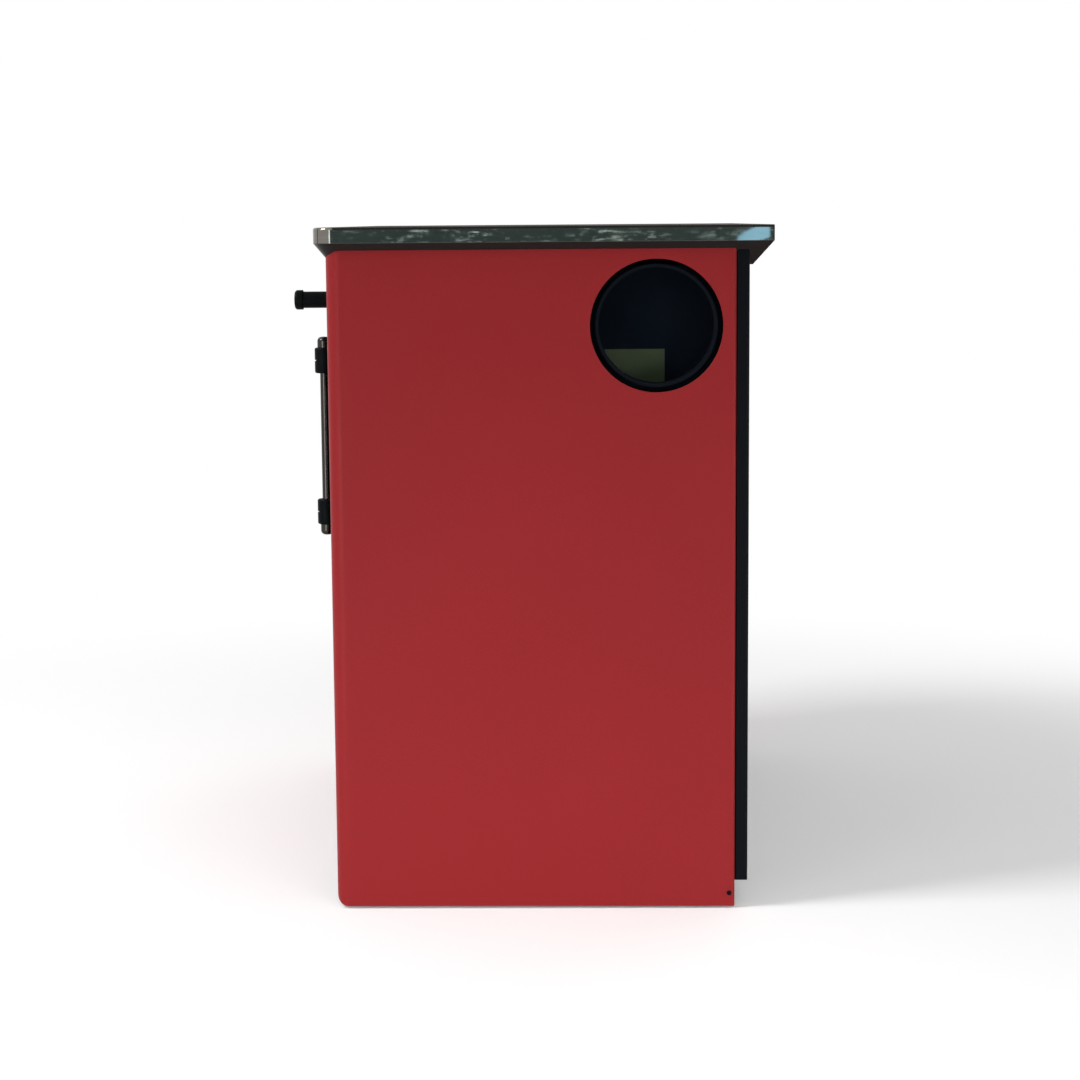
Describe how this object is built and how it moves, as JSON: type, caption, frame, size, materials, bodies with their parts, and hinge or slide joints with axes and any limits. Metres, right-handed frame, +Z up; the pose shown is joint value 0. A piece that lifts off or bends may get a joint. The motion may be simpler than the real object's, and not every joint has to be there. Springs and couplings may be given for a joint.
{
  "type": "wood-burning cookstove",
  "caption": "Freestanding wood-burning cookstove with an enamelled casing, polished top frame, firebox, oven, ring-top cooking plates, drawers and a flue outlet in its side.",
  "frame": {"origin": "on the floor under the middle of the overall box", "axes": "+Z up, -Y out of the front with the doors, +X towards the side with the flue outlet"},
  "size_m": [0.894, 0.6034, 0.85],
  "materials": {
    "red_enamel": "satin",
    "black_enamel": "satin",
    "polished_frame": "polished",
    "steel_plate": "dull",
    "oven_enamel": "satin",
    "cast_iron": "matt",
    "bright_steel": "bright",
    "black_moulding": "satin",
    "firebrick": "matt",
    "door_glass": "polished",
    "rope_seal": "woven"
  },
  "bodies": {
    "casing": {"left_side_panel": "red_enamel", "right_side_panel": "red_enamel", "front_fascia": "red_enamel", "rear_cover": "black_enamel", "base_tray": "black_enamel", "top_frame": "polished_frame", "inner_left_wall": "steel_plate", "inner_right_wall": "steel_plate", "inner_back_wall": "steel_plate", "hearth_plate": "steel_plate", "firebox_floor": "steel_plate", "firebox_partition": "steel_plate", "smoke_divider": "steel_plate", "damper_guides": "steel_plate", "panel_spacers": "steel_plate", "drawer_rails": "steel_plate", "oven_box": "oven_enamel", "grate": "cast_iron", "flue_collar": "cast_iron", "damper_bush": "bright_steel", "oven_rack": "bright_steel", "hinge_brackets": "bright_steel", "collar_bolts": "bright_steel", "levelling_feet": "bright_steel", "firebrick_left": "firebrick", "firebrick_right": "firebrick", "firebrick_rear": "firebrick", "firebrick_front": "firebrick"},
    "oven_door": {"oven_door_leaf": "black_enamel", "oven_door_glass": "door_glass", "oven_door_liner": "oven_enamel", "oven_door_gasket": "rope_seal", "oven_handle_bar": "bright_steel", "oven_handle_mounts": "black_moulding", "oven_thermometer": "bright_steel"},
    "firebox_door": {"firebox_door_leaf": "black_enamel", "firebox_door_glass": "door_glass", "firebox_glass_clips": "steel_plate", "firebox_door_gasket": "rope_seal", "firebox_handle_bar": "bright_steel", "firebox_handle_mounts": "black_moulding"},
    "ash_drawer": {"ash_drawer_front": "red_enamel", "ash_drawer_box": "steel_plate", "ash_drawer_knobs": "black_moulding"},
    "air_control": {"air_spinner": "bright_steel"},
    "hatch": {"cleaning_hatch": "red_enamel", "hatch_knob": "black_moulding"},
    "wood_drawer": {"wood_drawer_front": "red_enamel", "wood_drawer_box": "steel_plate", "wood_drawer_handle": "bright_steel"},
    "flue_damper": {"damper_plate": "steel_plate", "damper_rod": "bright_steel", "damper_knob": "black_moulding"},
    "left_plate": {"hob_plate_left": "cast_iron"},
    "outer_ring": {"ring_outer": "cast_iron"},
    "inner_ring": {"ring_inner": "cast_iron"},
    "lid": {"ring_lid": "cast_iron"},
    "right_plate": {"hob_plate_right": "cast_iron"}
  },
  "joints": [
    {"name": "oven_door_hinge", "type": "hinge", "parent": "casing", "child": "oven_door", "pos_m": [0.388, -0.24055, 0.5625], "axis": [0, 0, 1], "range_deg": [0, 110]},
    {"name": "firebox_door_hinge", "type": "hinge", "parent": "casing", "child": "firebox_door", "pos_m": [-0.388, -0.24055, 0.5625], "axis": [0, 0, -1], "range_deg": [0, 110]},
    {"name": "ash_drawer_slide", "type": "slide", "parent": "casing", "child": "ash_drawer", "axis": [0, -1, 0], "range_m": [0, 0.3]},
    {"name": "air_spinner_turn", "type": "hinge", "parent": "ash_drawer", "child": "air_control", "pos_m": [-0.229, -0.2466, 0.335], "axis": [0, -1, 0], "range_deg": [0, 30]},
    {"name": "hatch_pull", "type": "slide", "parent": "casing", "child": "hatch", "axis": [0, -1, 0], "range_m": [0, 0.15]},
    {"name": "wood_drawer_slide", "type": "slide", "parent": "casing", "child": "wood_drawer", "axis": [0, -1, 0], "range_m": [0, 0.32]},
    {"name": "damper_pull", "type": "slide", "parent": "casing", "child": "flue_damper", "axis": [0, -1, 0], "range_m": [0, 0.115]},
    {"name": "left_plate_lift", "type": "slide", "parent": "casing", "child": "left_plate", "axis": [0, 0, 1], "range_m": [0, 0.15]},
    {"name": "outer_ring_lift", "type": "slide", "parent": "left_plate", "child": "outer_ring", "axis": [0, 0, 1], "range_m": [0, 0.12]},
    {"name": "inner_ring_lift", "type": "slide", "parent": "outer_ring", "child": "inner_ring", "axis": [0, 0, 1], "range_m": [0, 0.12]},
    {"name": "lid_lift", "type": "slide", "parent": "inner_ring", "child": "lid", "axis": [0, 0, 1], "range_m": [0, 0.12]},
    {"name": "right_plate_lift", "type": "slide", "parent": "casing", "child": "right_plate", "axis": [0, 0, 1], "range_m": [0, 0.15]}
  ]
}
